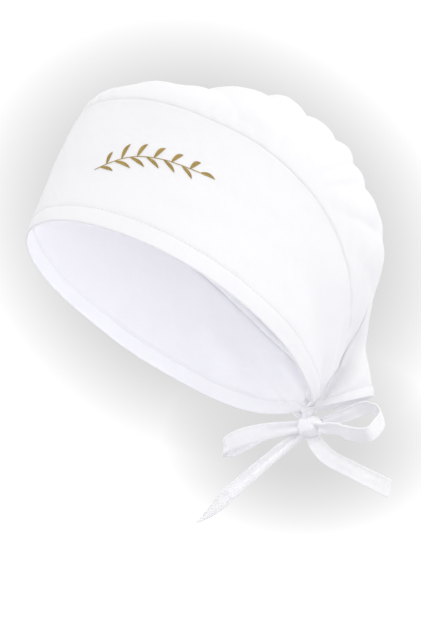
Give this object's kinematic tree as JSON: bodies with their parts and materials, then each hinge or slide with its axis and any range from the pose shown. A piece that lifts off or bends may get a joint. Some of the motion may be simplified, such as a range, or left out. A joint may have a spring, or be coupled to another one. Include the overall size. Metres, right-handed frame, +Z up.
{
  "type": "scrub cap",
  "caption": "Tied cotton scrub cap: a tall hemmed band, a softly gathered crown, a loose pouch at the nape and a bow of narrow ties below it.",
  "frame": {"origin": "the centre of the head opening, midway between its edge at the brow and the tie at the nape", "axes": "+Z up as the cap is worn, -Y toward the brow, +X toward the wearer's left; the opening's plane is tilted 29.7 degrees, brow high and nape low"},
  "size_m": [0.178, 0.2277, 0.2663],
  "materials": {
    "band_cotton": "white cotton poplin, matt, with a fine plain weave and small sewing puckers",
    "crown_cotton": "white cotton poplin, matt, gathered into soft puffs",
    "tie_cotton": "white cotton tape, folded and stitched along its edges, matt",
    "sewing_thread": "white sewing thread, slightly lustrous",
    "gold_thread": "gold rayon embroidery thread, lustrous"
  },
  "bodies": {
    "root": {"band": "band_cotton", "crown": "crown_cotton", "tie_knot": "tie_cotton", "bow_loop_left": "tie_cotton", "bow_loop_right": "tie_cotton", "tie_tail_left": "tie_cotton", "tie_tail_right": "tie_cotton", "tie_root_left": "tie_cotton", "tie_root_right": "tie_cotton"}
  },
  "joints": []
}
